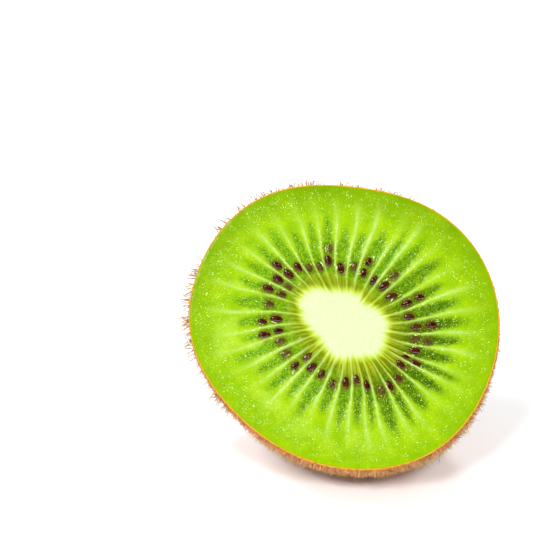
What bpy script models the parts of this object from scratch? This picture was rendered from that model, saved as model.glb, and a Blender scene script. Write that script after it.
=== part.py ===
"""Half of a kiwi fruit, cut straight across, lying on its hairy side with the cut face up and forward.

The fruit is one solid: pale core, green flesh and brown skin, with the seeds fused to the cut face and
the stem scar at the closed end. It is modelled in metres, +Z up. Its own axis is the fruit's growth axis:
the cut face lies in the plane z = 0 of the object, and the fruit reaches down to the stem scar.
Angles on the cut face are turned anticlockwise from its right side, seen from outside.
"""
import math
import random

import bmesh
import bpy
from mathutils import Matrix, Vector

MM = 0.001

# Size and pose of the half fruit.
FACE_RADIUS = 26.65 * MM
HALF_LENGTH = 32.5 * MM
FACE_LIFT = math.radians(40)
REST_SPOT_DEPTH = 0.8 * MM

# The cut edge is a lopsided oval: how often each lobe repeats, its share of the radius, where it peaks.
OUTLINE_LOBES = (
    (1, 0.0223, math.radians(116)),
    (2, 0.0496, math.radians(-30)),
    (3, 0.0189, math.radians(41)),
    (4, 0.0091, math.radians(35)),
    (5, 0.0041, math.radians(-25)),
    (6, 0.0043, math.radians(6)),
)

# The side tapers from the cut edge to a blunt stem end, which leans up and to the left.
SIDE_TAPER = 1.8
SIDE_FULLNESS = 2.2
LOBES_LEFT_AT_TIP = 0.35
TIP_LEAN = Vector((-0.7 * MM, 0.7 * MM))

# Pale core: an oval that is fatter at its upper left end, slightly domed by the cut.
CORE_RADIUS = 7.35 * MM
CORE_STRETCH = 1.65 * MM
CORE_STRETCH_AT = math.radians(142)
CORE_FAT_END = 0.75 * MM
CORE_FAT_END_AT = math.radians(145)
CORE_RISE = 0.35 * MM

# Walls run out from the core like spokes, with a seed chamber between each two.
WALL_COUNT = 35
WALL_TURN = math.radians(2.9)
WALL_CROWDING = math.radians(2.9)
WALL_CROWDING_AT = math.radians(83)
WALL_JITTER = math.radians(2.0)
WALL_DRAW = 271544
WALL_BEND = math.radians(6)
WALL_BEND_AT = math.radians(52)
WALL_BEND_REACH = 12.5 * MM
WALL_CREST = 0.14 * MM
CHAMBER_DEPTH = 0.30 * MM
CHAMBER_START = 0.14
CHAMBER_FULL_UNTIL = 0.50
CHAMBER_END = 0.74

# Seeds: small teardrops that point to the core, one or two to a chamber.
SEED_DRAW = 41156
SECOND_SEED_SHARE = 0.52
SEED_LENGTH = (1.8 * MM, 2.3 * MM)
SEED_WIDTH_SHARE = 0.62
SEED_THICKNESS_SHARE = 0.50
SEED_FROM_CORE = (2.7 * MM, 5.6 * MM)
SEED_GAP = (2.1 * MM, 2.7 * MM)
SEED_SIDE_SHIFT = math.radians(1.2)
SEED_TWIST = math.radians(14)
SEED_SINK = (-0.15, 0.45)
SEED_SIDES = 6
SEED_RINGS = 3

# Skin edge, dimple and stem scar.
SKIN_EDGE = 0.45 * MM
SKIN_ROUNDING = 0.25 * MM
DIMPLE_DEPTH = 1.0 * MM
DIMPLE_RADIUS = 4.6 * MM
SCAR_RADIUS = 3.4 * MM
SCAR_HEIGHT = 1.1 * MM
SCAR_HOLLOW = 0.6 * MM
SCAR_RAGGEDNESS = 0.10
SCAR_UNEVENNESS = 0.25

# Mesh: sectors for each wall, and rings of points.
SECTORS_PER_WALL = 3
CORE_RINGS = (0.45, 0.8, 1.0)
FLESH_RINGS = (0.12, 0.24, 0.36, 0.48, 0.60, 0.72, 0.86)
BODY_STEPS = 14
BODY_RINGS = 12

COLOURS = {
    "flesh": ((0.28, 0.52, 0.02, 1), 0.30),
    "core": ((0.85, 0.93, 0.50, 1), 0.35),
    "skin": ((0.27, 0.13, 0.045, 1), 0.85),
    "stem_scar": ((0.07, 0.035, 0.02, 1), 0.90),
    "seed": ((0.035, 0.008, 0.008, 1), 0.25),
}


def clear_scene():
    for thing in list(bpy.data.objects):
        bpy.data.objects.remove(thing, do_unlink=True)


def smooth_step(low, high, value):
    share = min(max((value - low) / (high - low), 0.0), 1.0)
    return share * share * (3 - 2 * share)


def material(name):
    colour, roughness = COLOURS[name]
    made = bpy.data.materials.new(name)
    made.use_nodes = True
    shader = made.node_tree.nodes["Principled BSDF"]
    shader.inputs["Base Color"].default_value = colour
    shader.inputs["Roughness"].default_value = roughness
    shader.inputs["Metallic"].default_value = 0.0
    return made


def outline_radius(angle, lobe_strength=1.0):
    """Radius of the cut edge, or of a slice further down where the lobes are weaker."""
    lobes = sum(share * math.cos(count * (angle - peak)) for count, share, peak in OUTLINE_LOBES)
    return FACE_RADIUS * (1 + lobe_strength * lobes)


def core_radius(angle):
    stretch = CORE_STRETCH * math.cos(2 * (angle - CORE_STRETCH_AT))
    fat_end = CORE_FAT_END * math.cos(angle - CORE_FAT_END_AT)
    return CORE_RADIUS + stretch + fat_end


def wall_angles():
    """Where each wall meets the outer flesh: even spokes, crowded towards two sides, slightly uneven."""
    draw = random.Random(WALL_DRAW)
    angles = []
    for index in range(WALL_COUNT):
        even = 2 * math.pi * index / WALL_COUNT
        crowding = WALL_CROWDING * math.cos(2 * (even - WALL_CROWDING_AT))
        jitter = WALL_JITTER * (2 * draw.random() - 1)
        angles.append(even + WALL_TURN + crowding + jitter)
    return angles


def bent_angle(angle, radius):
    """Follow a wall inwards: it bends towards the ends of the core."""
    outside_core = radius - core_radius(angle)
    share = 1 - smooth_step(0, WALL_BEND_REACH, outside_core)
    return angle + WALL_BEND * share * math.sin(2 * (angle - WALL_BEND_AT))


def chamber_strength(outward):
    """How fully the chambers show, for a share of the way from the core to the cut edge."""
    opening = smooth_step(0, CHAMBER_START, outward)
    closing = smooth_step(CHAMBER_FULL_UNTIL, CHAMBER_END, outward)
    return opening * (1 - closing)


def face_height(outward, is_wall):
    relief = WALL_CREST if is_wall else -CHAMBER_DEPTH
    return relief * chamber_strength(outward)


def ring_angles():
    """The mesh's sectors: one on each wall, the rest evenly between walls."""
    walls = wall_angles()
    walls.append(walls[0] + 2 * math.pi)
    angles = []
    for left, right in zip(walls, walls[1:]):
        for step in range(SECTORS_PER_WALL):
            angles.append(left + (right - left) * step / SECTORS_PER_WALL)
    return angles


def face_rings(angles):
    """Rings of the cut face from the core outwards, as lists of points."""
    rings = []
    for share in CORE_RINGS:
        ring = []
        for angle in angles:
            radius = share * core_radius(angle)
            turned = bent_angle(angle, radius)
            height = CORE_RISE * (1 - share * share)
            ring.append(Vector((radius * math.cos(turned), radius * math.sin(turned), height)))
        rings.append(ring)
    for outward in FLESH_RINGS:
        ring = []
        for index, angle in enumerate(angles):
            inner = core_radius(angle)
            radius = inner + outward * (outline_radius(angle) - inner)
            turned = bent_angle(angle, radius)
            height = face_height(outward, index % SECTORS_PER_WALL == 0)
            ring.append(Vector((radius * math.cos(turned), radius * math.sin(turned), height)))
        rings.append(ring)
    return rings


def body_point(angle, width, depth):
    """A point of the skin: width as a share of the cut edge, depth below the cut face."""
    down = depth / HALF_LENGTH
    strength = 1 - (1 - LOBES_LEFT_AT_TIP) * down ** 3
    radius = width * outline_radius(angle, strength)
    lean = TIP_LEAN * down
    return Vector((radius * math.cos(angle) + lean.x, radius * math.sin(angle) + lean.y, -depth))


def side_width(depth):
    return (1 - (depth / HALF_LENGTH) ** SIDE_TAPER) ** (1 / SIDE_FULLNESS)


def side_depth(width):
    return HALF_LENGTH * (1 - width ** SIDE_FULLNESS) ** (1 / SIDE_TAPER)


def body_rings(angles):
    """Rings of the skin from the cut edge down to the dimple round the stem scar."""
    edge = [body_point(angle, 1 - SKIN_EDGE / FACE_RADIUS, 0) for angle in angles]
    rounded = [body_point(angle, 1.0, SKIN_ROUNDING) for angle in angles]
    rings = [edge, rounded]
    for step in range(1, BODY_RINGS + 1):
        depth = HALF_LENGTH * math.sin(math.pi / 2 * step / BODY_STEPS)
        rings.append([body_point(angle, side_width(depth), depth) for angle in angles])
    return rings


def dimple(radius):
    return DIMPLE_DEPTH * math.exp(-((radius / DIMPLE_RADIUS) ** 2))


def scar_rings(angles):
    """Rings of the ragged woody scar: its foot, its outer and inner lip, and the hollow inside."""
    rings = []
    for radius, rise in (
        (SCAR_RADIUS + 1.3 * MM, 0.0),
        (SCAR_RADIUS, 0.0),
        (SCAR_RADIUS - 0.3 * MM, SCAR_HEIGHT),
        (SCAR_RADIUS * 0.6, SCAR_HEIGHT),
        (SCAR_RADIUS * 0.4, SCAR_HEIGHT - SCAR_HOLLOW),
    ):
        ring = []
        for angle in angles:
            ragged = 0.6 * math.sin(5 * angle) + 0.4 * math.sin(8 * angle + 1)
            width = radius * (1 + SCAR_RAGGEDNESS * ragged) / FACE_RADIUS
            depth = side_depth(width) - dimple(radius) + rise * (1 + SCAR_UNEVENNESS * ragged)
            ring.append(body_point(angle, width, depth))
        rings.append(ring)
    return rings


def bridge(mesh, inner, outer, slot):
    """Join two rings of points with faces that look away from the fruit."""
    count = len(inner)
    for index in range(count):
        after = (index + 1) % count
        face = mesh.faces.new((inner[index], outer[index], outer[after], inner[after]))
        face.material_index = slot


def cap(mesh, ring, centre, slot):
    count = len(ring)
    for index in range(count):
        face = mesh.faces.new((centre, ring[index], ring[(index + 1) % count]))
        face.material_index = slot


def make_fruit(slots):
    """The fruit without its seeds: cut face, skin and stem scar as one closed mesh."""
    angles = ring_angles()
    mesh = bmesh.new()
    top = mesh.verts.new((0, 0, CORE_RISE))
    tip_depth = HALF_LENGTH - DIMPLE_DEPTH + SCAR_HEIGHT - SCAR_HOLLOW
    tip = mesh.verts.new(body_point(0, 0, tip_depth))
    rings = []
    ring_slots = []
    for ring in face_rings(angles):
        rings.append([mesh.verts.new(point) for point in ring])
        ring_slots.append("core" if len(rings) <= len(CORE_RINGS) else "flesh")
    for ring in body_rings(angles):
        rings.append([mesh.verts.new(point) for point in ring])
        ring_slots.append("skin")
    ring_slots[len(CORE_RINGS) + len(FLESH_RINGS)] = "flesh"
    for number, ring in enumerate(scar_rings(angles)):
        rings.append([mesh.verts.new(point) for point in ring])
        ring_slots.append("skin" if number < 2 else "stem_scar")
    cap(mesh, rings[0], top, slots["core"])
    for inner, outer, slot in zip(rings, rings[1:], ring_slots[1:]):
        bridge(mesh, inner, outer, slots[slot])
    cap(mesh, rings[-1][::-1], tip, slots["stem_scar"])
    return mesh


def cut_rest_spot(mesh, slot):
    """Flatten the lowest place of the tilted fruit, so that it lies still."""
    up = Vector((0, math.cos(FACE_LIFT), math.sin(FACE_LIFT)))
    lowest = min(vert.co.dot(up) for vert in mesh.verts)
    level = up * (lowest + REST_SPOT_DEPTH)
    everything = mesh.verts[:] + mesh.edges[:] + mesh.faces[:]
    cut = bmesh.ops.bisect_plane(mesh, geom=everything, plane_co=level, plane_no=up, clear_inner=True)
    rim = [part for part in cut["geom_cut"] if isinstance(part, bmesh.types.BMEdge)]
    filled = bmesh.ops.contextual_create(mesh, geom=rim)["faces"]
    for face in filled:
        face.material_index = slot
        face.smooth = False


def plan_seeds():
    """Each seed as its angle, distance from the growth axis, length, twist and sink."""
    draw = random.Random(SEED_DRAW)
    walls = wall_angles()
    walls.append(walls[0] + 2 * math.pi)
    seeds = []
    for left, right in zip(walls, walls[1:]):
        middle = (left + right) / 2
        radius = core_radius(middle) + draw.uniform(*SEED_FROM_CORE)
        count = 2 if draw.random() < SECOND_SEED_SHARE else 1
        for _ in range(count):
            angle = bent_angle(middle, radius) + draw.uniform(-SEED_SIDE_SHIFT, SEED_SIDE_SHIFT)
            length = draw.uniform(*SEED_LENGTH)
            twist = draw.uniform(-SEED_TWIST, SEED_TWIST)
            sink = draw.uniform(*SEED_SINK)
            seeds.append((angle, radius, length, twist, sink))
            radius += draw.uniform(*SEED_GAP)
    return seeds


def make_seed(length, slot):
    """A teardrop along +X with its point at -X."""
    width = length * SEED_WIDTH_SHARE
    thickness = length * SEED_THICKNESS_SHARE
    mesh = bmesh.new()
    point = mesh.verts.new((-length / 2, 0, 0))
    end = mesh.verts.new((length / 2, 0, 0))
    rings = []
    for step in range(1, SEED_RINGS + 1):
        share = step / (SEED_RINGS + 1)
        along = -length / 2 * math.cos(math.pi * share)
        girth = math.sin(math.pi * share) * (0.82 + 0.18 * share)
        ring = []
        for side in range(SEED_SIDES):
            turn = 2 * math.pi * side / SEED_SIDES
            across = width / 2 * girth * math.cos(turn)
            up = thickness / 2 * girth * math.sin(turn)
            ring.append(mesh.verts.new((along, across, up)))
        rings.append(ring)
    cap(mesh, rings[0][::-1], point, slot)
    for inner, outer in zip(rings, rings[1:]):
        bridge(mesh, outer, inner, slot)
    cap(mesh, rings[-1], end, slot)
    return mesh


def to_object(mesh, name, materials, collection):
    data = bpy.data.meshes.new(name)
    for face in mesh.faces:
        face.smooth = True
    mesh.to_mesh(data)
    mesh.free()
    for made in materials:
        data.materials.append(made)
    thing = bpy.data.objects.new(name, data)
    collection.objects.link(thing)
    return thing


def fuse_seeds(fruit, materials, slots):
    """Join every seed to the cut face with one union, then take the loose seeds away."""
    seeds = bpy.data.collections.new("seeds")
    bpy.context.scene.collection.children.link(seeds)
    for number, (angle, radius, length, twist, sink) in enumerate(plan_seeds()):
        seed = to_object(make_seed(length, slots["seed"]), "seed_%02d" % number, materials, seeds)
        height = -CHAMBER_DEPTH - sink * length * SEED_THICKNESS_SHARE / 2
        seed.location = (radius * math.cos(angle), radius * math.sin(angle), height)
        seed.rotation_euler = (0, 0, angle + twist)
    union = fruit.modifiers.new("seeds", "BOOLEAN")
    union.operation = "UNION"
    union.operand_type = "COLLECTION"
    union.collection = seeds
    union.solver = "EXACT"
    bpy.context.view_layer.update()
    evaluated = fruit.evaluated_get(bpy.context.evaluated_depsgraph_get())
    fused = bpy.data.meshes.new_from_object(evaluated)
    fruit.modifiers.clear()
    fruit.data = fused
    for seed in list(seeds.objects):
        bpy.data.objects.remove(seed, do_unlink=True)
    bpy.data.collections.remove(seeds)


def lay_down(fruit):
    """Tilt the fruit so that its cut face looks up and forward, standing on the ground at the origin."""
    fruit.rotation_euler = (math.pi / 2 - FACE_LIFT, 0, 0)
    turn = Matrix.Rotation(math.pi / 2 - FACE_LIFT, 3, "X")
    points = [turn @ vert.co for vert in fruit.data.vertices]
    low = [min(point[axis] for point in points) for axis in range(3)]
    high = [max(point[axis] for point in points) for axis in range(3)]
    fruit.location = (-(low[0] + high[0]) / 2, -(low[1] + high[1]) / 2, -low[2])


def build():
    clear_scene()
    names = list(COLOURS)
    slots = {name: number for number, name in enumerate(names)}
    materials = [material(name) for name in names]
    mesh = make_fruit(slots)
    cut_rest_spot(mesh, slots["skin"])
    fruit = to_object(mesh, "kiwi_half", materials, bpy.context.scene.collection)
    fuse_seeds(fruit, materials, slots)
    lay_down(fruit)


build()
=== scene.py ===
"""Looks of the half kiwi fruit: wet green flesh, glossy seeds, hairy skin and a woody stem scar.

Every shape is worked out in the fruit's own frame, in millimetres: the cut face lies in z = 0, the
fruit reaches down to the stem scar, and angles on the face are turned anticlockwise from its right
side. The fruit is then laid into the frame where the CAD has it.
"""
import math
import random

import bpy
import numpy as np
from mathutils import Matrix, Vector


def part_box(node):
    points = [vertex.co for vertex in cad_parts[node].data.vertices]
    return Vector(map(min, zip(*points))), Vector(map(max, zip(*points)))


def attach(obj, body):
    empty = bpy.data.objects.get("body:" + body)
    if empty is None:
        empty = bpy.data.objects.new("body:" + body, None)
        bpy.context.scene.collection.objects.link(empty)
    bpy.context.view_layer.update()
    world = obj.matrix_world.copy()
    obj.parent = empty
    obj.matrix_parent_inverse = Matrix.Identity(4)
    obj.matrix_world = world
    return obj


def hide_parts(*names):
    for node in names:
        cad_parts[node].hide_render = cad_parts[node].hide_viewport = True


MM = 0.001

# Size and pose of the fruit, the same as in its solid.
FACE_RADIUS = 26.65
HALF_LENGTH = 32.5
FACE_LIFT = math.radians(40)
OUTLINE_LOBES = (
    (1, 0.0223, math.radians(116)),
    (2, 0.0496, math.radians(-30)),
    (3, 0.0189, math.radians(41)),
    (4, 0.0091, math.radians(35)),
    (5, 0.0041, math.radians(-25)),
    (6, 0.0043, math.radians(6)),
)
SIDE_TAPER = 1.8
SIDE_FULLNESS = 2.2
LOBES_LEFT_AT_TIP = 0.35
TIP_LEAN = (-0.7, 0.7)

# Core, walls and chambers, the same as in the solid.
CORE_RADIUS = 7.35
CORE_STRETCH = 1.65
CORE_STRETCH_AT = math.radians(142)
CORE_FAT_END = 0.75
CORE_FAT_END_AT = math.radians(145)
CORE_RISE = 0.35
WALL_COUNT = 35
WALL_TURN = math.radians(2.9)
WALL_CROWDING = math.radians(2.9)
WALL_CROWDING_AT = math.radians(83)
WALL_JITTER = math.radians(2.0)
WALL_DRAW = 271544
WALL_BEND = math.radians(6)
WALL_BEND_AT = math.radians(52)
WALL_BEND_REACH = 12.5
WALL_CREST = 0.14
CHAMBER_DEPTH = 0.30
CHAMBER_START = 0.14
CHAMBER_FULL_UNTIL = 0.50
CHAMBER_END = 0.74

# Seeds, the same as in the solid.
SEED_DRAW = 41156
SECOND_SEED_SHARE = 0.52
SEED_LENGTH = (1.8, 2.3)
SEED_WIDTH_SHARE = 0.62
SEED_THICKNESS_SHARE = 0.50
SEED_FROM_CORE = (2.7, 5.6)
SEED_GAP = (2.1, 2.7)
SEED_SIDE_SHIFT = math.radians(1.2)
SEED_TWIST = math.radians(14)
SEED_SINK = (-0.15, 0.45)

# Skin, with the rings of its rounded cut edge by their inset and depth, and the flesh inside it.
SKIN_THICKNESS = 0.28
SKIN_ROUNDING = 0.25
SKIN_EDGE = ((SKIN_THICKNESS, 0.03), (0.09, 0.05))
SKIN_PLANE = (26, 45)
FLESH_OVERLAP = 0.1
FLESH_DEPTH = 30.6
UNDERSIDE_GAP = 1.2
UNDERSIDE_LEVELS = (0.03, 0.2, 0.42, 0.65, 0.85, 0.97)

# Stem scar, with its rings from the root over the lip to the hollow by their radius and height.
DIMPLE_DEPTH = 1.0
DIMPLE_RADIUS = 4.6
SCAR_RADIUS = 3.4
SCAR_HEIGHT = 1.1
SCAR_HOLLOW = 0.6
SCAR_ROOT = 0.6
SCAR_RAGGEDNESS = 0.10
SCAR_UNEVENNESS = 0.25
SCAR_RINGS = (
    (SCAR_RADIUS + 0.1, -0.5),
    (SCAR_RADIUS, 0.3),
    (SCAR_RADIUS - 0.1, 0.8 * SCAR_HEIGHT),
    (SCAR_RADIUS - 0.35, SCAR_HEIGHT),
    (SCAR_RADIUS * 0.75, SCAR_HEIGHT * 0.92),
    (SCAR_RADIUS * 0.6, SCAR_HEIGHT),
    (SCAR_RADIUS * 0.5, SCAR_HEIGHT - 0.3),
    (SCAR_RADIUS * 0.4, SCAR_HEIGHT - SCAR_HOLLOW),
    (SCAR_RADIUS * 0.2, SCAR_HEIGHT - SCAR_HOLLOW * 0.8),
)

# How finely the surfaces are divided.
SECTORS_PER_CHAMBER = 22
CORE_RINGS = 22
CORE_FIRST_RING = 0.05
FLESH_RINGS = 96
SKIN_SECTORS = 360
SKIN_RINGS = 110
SKIN_INNER_RINGS = 14
SEED_SIDES = 20
SEED_RINGS = 14
SCAR_SECTORS = 120
HAIR_SIDES = 3

# The pattern of the cut face: walls, pale rays on them, chambers, and the sides where it changes, with
# painted shade on the shaded side and at the top and a painted haze of light on the hazy side.
WALL_HALF_WIDTH = (0.20, 0.36)
RAY_HALF_WIDTH = 0.17
RAY_FADE = 0.30
RAY_REACH = (0.70, 0.94)
RAY_FORCE = (0.55, 1.0)
GLOW_HALF_WIDTH = 0.75
CHAMBER_TAPER_FROM = 0.28
CHAMBER_REACH = (0.60, 0.80)
OLIVE_REACH = 3.7
FIBRE_HALF_WIDTH = 0.12
SHADED_SIDE = math.radians(-20)
HAZY_SIDE = math.radians(215)
TOP_SIDE = math.radians(92)

# The white of the core ends inside the core's outline, on an edge with corners: lobes in millimetres.
WHITE_EDGE_INSET = 0.9
WHITE_EDGE_SOFTNESS = 0.7
WHITE_EDGE_LOBES = (
    (1, 0.39, math.radians(-51)),
    (2, 0.43, math.radians(25)),
    (3, 0.45, math.radians(25)),
    (4, 0.28, math.radians(-23)),
    (5, 0.24, math.radians(17)),
    (6, 0.20, math.radians(18)),
)

# Hairs of the skin: how many, how long, and how thick at the root.
FUZZ_COUNT = 14000
FUZZ_LENGTH = (0.5, 1.1)
FUZZ_THICKNESS = 0.09
BRISTLE_COUNT = 4200
BRISTLE_LENGTH = (1.0, 2.6)
BRISTLE_THICKNESS = 0.09
RIM_HAIR_COUNT = 460
RIM_HAIR_LENGTH = (1.5, 3.0)
RIM_HAIR_THICKNESS = 0.15
MAT_HAIR_COUNT = 4200
MAT_HAIR_LENGTH = (0.5, 1.15)
MAT_HAIR_THICKNESS = 0.11
HAIR_ROOT_DEPTH = 0.12
HAIR_TRIES = 5

# Where each kind grows, from 0 at the cut edge to 1 at the stem end, and at which sides.
SKIN_REACH = (0.004, 0.925)
BRISTLE_REACH = (0.05, 0.91)
RIM_REACH = (0.004, 0.035)
MAT_REACH = (0.004, 0.22)
MAT_AT = (math.radians(240), math.radians(315))
LONG_HAIRS_AT = math.radians(145)
HAIRS_BELOW_AT = math.radians(290)
HAIRS_BELOW = 0.45

# What the length is multiplied by where hairs are shortest and longest, and the size of their tufts.
SHORT_HAIRS = 0.3
LONG_HAIRS = 1.15
TUFT_SIZE = 1.6
SWIRL_SIZE = 9.0

# Pale grains of the wet flesh whose pale colour is partly a painted glint, painted glints on the rays,
# white films beside the seeds that are partly painted highlights, and amber specks round the core.
GRAIN_COUNT = 12000
GRAIN_TURN = math.pi * (3 - math.sqrt(5))
GRAIN_LENGTH = (0.20, 0.37)
GRAINY_SIDE = math.radians(190)
GLINTS_PER_RAY = 9
GLINT_REACH = (12.0, 20.0)
GLINT_LENGTH = (0.2, 0.65)
FILM_AND_GLINT_SHARE = 0.35
FILMS_AND_GLINTS_PER_SEED = 3
FILM_AND_GLINT_LENGTH = (0.5, 1.3)
AMBER_COUNT = 26
AMBER_FROM_CORE = (0.6, 3.2)
AMBER_LENGTH = (0.25, 0.45)

# The mat's and the grains' colours, as the shader takes them; the grains' pale colour is partly a
# painted glint.
MAT_ROOT = (0.72, 0.29, 0.11, 1.0)
MAT_TIP = (0.90, 0.58, 0.26, 1.0)
GRAIN_GREEN = (0.36, 0.64, 0.04, 1.0)
GRAIN_PALE_GLINT = (0.66, 0.80, 0.30, 1.0)

# The studio, in metres, and how much brighter than plain daylight it lights the fruit.
STUDIO_LIGHT = 1.85
FLOOR_HALF_WIDTH = 3.0
FLOOR_SHADE = 0.93
WORLD_COLOUR = (0.90, 0.96, 1.0, 1.0)
WORLD_STRENGTH = 0.46
WINDOW_PLACE = (-0.60, -0.16, 0.84)
WINDOW_TARGET = (0, 0, 0.02)
WINDOW_SIZE = 0.25
WINDOW_POWER = 3.4
LAMP_SOFTNESS = math.radians(12)
LAMPS = (
    ("front_left", (-0.22, -0.70, 0.54), 2.22),
    ("front_right", (0.24, -0.70, 0.54), 2.08),
    ("back", (0.05, 0.60, 0.75), 0.9),
)

# The photo's view: where it is taken from and the middle of the core in its 550 x 550 frame.
CAMERA_TURN = math.radians(6)
CAMERA_RISE = math.radians(22)
CAMERA_DISTANCE = 400.0
FRAME_PIXELS = 550
FOCAL_PIXELS = 2295.0
CORE_PIXEL = (346.5, 324.6)
SENSOR_WIDTH = 36.0
CLIP_RANGE = (0.01, 20.0)


# Numbers and curves

def ease(share):
    return share * share * (3 - 2 * share)


def smooth_step(low, high, value):
    return ease(np.clip((value - low) / (high - low), 0.0, 1.0))


def bell(value):
    return np.exp(-(value ** 2))


def facing(angle, side):
    """How much an angle lies on that side: 1 in its middle and 0 opposite."""
    return 0.5 + 0.5 * np.cos(angle - side)


def unit(vectors):
    return vectors / np.linalg.norm(vectors, axis=1, keepdims=True)


def ripple(angle, count, draw):
    """Smooth unevenness round a circle, from -1 to 1, with that many random values."""
    values = np.random.default_rng(draw).uniform(-1, 1, count)
    place = np.mod(angle / (2 * math.pi), 1.0) * count
    first = np.floor(place).astype(int) % count
    blend = ease(place - np.floor(place))
    return values[first] * (1 - blend) + values[(first + 1) % count] * blend


def mottle(x, y, size, draw):
    """Smooth unevenness over a plane, from -1 to 1, with patches of that size."""
    count = 64
    values = np.random.default_rng(draw).uniform(-1, 1, (count, count))
    column, row = x / size, y / size
    left, low = np.floor(column).astype(int), np.floor(row).astype(int)
    across, up = ease(column - left), ease(row - low)
    corner = values[left % count, low % count]
    right = values[(left + 1) % count, low % count]
    above = values[left % count, (low + 1) % count]
    far = values[(left + 1) % count, (low + 1) % count]
    near_row = corner * (1 - across) + right * across
    return near_row * (1 - up) + (above * (1 - across) + far * across) * up


def outline_radius(angle, lobe_strength=1.0):
    lobes = sum(share * np.cos(count * (angle - peak)) for count, share, peak in OUTLINE_LOBES)
    return FACE_RADIUS * (1 + lobe_strength * lobes)


def core_radius(angle):
    stretch = CORE_STRETCH * np.cos(2 * (angle - CORE_STRETCH_AT))
    fat_end = CORE_FAT_END * np.cos(angle - CORE_FAT_END_AT)
    return CORE_RADIUS + stretch + fat_end


def wall_angles():
    """Where each wall meets the outer flesh, with the first one repeated a turn later."""
    draw = random.Random(WALL_DRAW)
    angles = []
    for index in range(WALL_COUNT):
        even = 2 * math.pi * index / WALL_COUNT
        crowding = WALL_CROWDING * math.cos(2 * (even - WALL_CROWDING_AT))
        jitter = WALL_JITTER * (2 * draw.random() - 1)
        angles.append(even + WALL_TURN + crowding + jitter)
    return np.array(angles + [angles[0] + 2 * math.pi])


def bent_angle(angle, radius):
    share = 1 - smooth_step(0, WALL_BEND_REACH, radius - core_radius(angle))
    return angle + WALL_BEND * share * np.sin(2 * (angle - WALL_BEND_AT))


def chamber_strength(outward):
    opening = smooth_step(0, CHAMBER_START, outward)
    return opening * (1 - smooth_step(CHAMBER_FULL_UNTIL, CHAMBER_END, outward))


def plan_seeds():
    """Each seed as its angle, distance from the growth axis, length, twist and sink."""
    draw = random.Random(SEED_DRAW)
    walls = wall_angles()
    seeds = []
    for left, right in zip(walls, walls[1:]):
        middle = (left + right) / 2
        radius = core_radius(middle) + draw.uniform(*SEED_FROM_CORE)
        count = 2 if draw.random() < SECOND_SEED_SHARE else 1
        for _ in range(count):
            angle = bent_angle(middle, radius) + draw.uniform(-SEED_SIDE_SHIFT, SEED_SIDE_SHIFT)
            length = draw.uniform(*SEED_LENGTH)
            twist = draw.uniform(-SEED_TWIST, SEED_TWIST)
            sink = draw.uniform(*SEED_SINK)
            seeds.append((angle, radius, length, twist, sink))
            radius += draw.uniform(*SEED_GAP)
    return seeds


def body_points(angle, width, depth):
    """Points of the skin: width as a share of the cut edge, depth below the cut face."""
    down = depth / HALF_LENGTH
    strength = 1 - (1 - LOBES_LEFT_AT_TIP) * down ** 3
    radius = width * outline_radius(angle, strength)
    x = radius * np.cos(angle) + TIP_LEAN[0] * down
    y = radius * np.sin(angle) + TIP_LEAN[1] * down
    return np.stack([x, y, -depth + 0 * x], axis=-1)


def side_width(depth):
    return (1 - (depth / HALF_LENGTH) ** SIDE_TAPER) ** (1 / SIDE_FULLNESS)


def side_depth(width):
    return HALF_LENGTH * (1 - width ** SIDE_FULLNESS) ** (1 / SIDE_TAPER)


def dimple(radius):
    return DIMPLE_DEPTH * bell(radius / DIMPLE_RADIUS)


def face_waves(x, y):
    """The broad unevenness of the cut face, in millimetres."""
    return 0.06 * mottle(x, y, 3.5, 21)


def on_face(angle, radius, heading, along, across):
    """Where the points of a small piece lie on the cut face when it is turned to its heading."""
    x = radius * np.cos(angle) + np.cos(heading) * along - np.sin(heading) * across
    y = radius * np.sin(angle) + np.sin(heading) * along + np.cos(heading) * across
    return x, y


# Placing the fruit in the frame

def turn_points(points):
    """Tilt points of the fruit so that the cut face looks up and forward."""
    turn = np.array(Matrix.Rotation(math.pi / 2 - FACE_LIFT, 3, "X"))
    return points @ turn.T


def find_origin():
    """Where the middle of the cut face stands, so that the fruit fills the CAD's box up to its top."""
    angle, share = np.meshgrid(np.linspace(0, 2 * math.pi, 721), np.linspace(0, 1, 200))
    depth = SKIN_ROUNDING + (HALF_LENGTH - SKIN_ROUNDING) * share
    body = turn_points(body_points(angle, side_width(depth), depth).reshape(-1, 3))
    low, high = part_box("kiwi_half")
    middle = (np.array(low) + np.array(high)) / 2 / MM
    centre = (body.min(axis=0) + body.max(axis=0)) / 2
    origin = middle - centre
    origin[2] = high[2] / MM - body[:, 2].max()
    return origin


def to_frame(points):
    """From the fruit's frame in millimetres to the row frame in metres."""
    return (turn_points(np.asarray(points, dtype=float)) + ORIGIN) * MM


def make_piece(name, points, faces, material, values=None):
    """A mesh of those points, in the fruit's frame, riding on the fruit's body."""
    data = bpy.data.meshes.new(name)
    placed = to_frame(points)
    placed[:, 2] = np.maximum(placed[:, 2], 0.0)
    data.from_pydata(placed.tolist(), [], [tuple(face) for face in faces])
    data.materials.append(material)
    for label, numbers in (values or {}).items():
        layer = data.attributes.new(label, "FLOAT", "POINT")
        layer.data.foreach_set("value", np.asarray(numbers, dtype=np.float32).ravel())
    data.shade_smooth()
    piece = bpy.data.objects.new(name, data)
    bpy.context.scene.collection.objects.link(piece)
    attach(piece, "root")
    return piece


def grid_faces(rings, sectors, first=0):
    """Quads between closed rings of points, numbered ring by ring, looking outwards."""
    ring, sector = np.meshgrid(np.arange(rings - 1), np.arange(sectors), indexing="ij")
    after = (sector + 1) % sectors
    inner, outer = first + ring * sectors, first + (ring + 1) * sectors
    quads = np.stack([inner + sector, outer + sector, outer + after, inner + after], axis=-1)
    return quads.reshape(-1, 4)


def fan_faces(centre, start, sectors, flip=False):
    """Triangles from a centre to the closed ring of points that begins at start."""
    order = np.arange(sectors)
    after = (order + 1) % sectors
    pair = (start + after, start + order) if flip else (start + order, start + after)
    return np.stack([np.full(sectors, centre), pair[0], pair[1]], axis=-1)


# Materials

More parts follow.
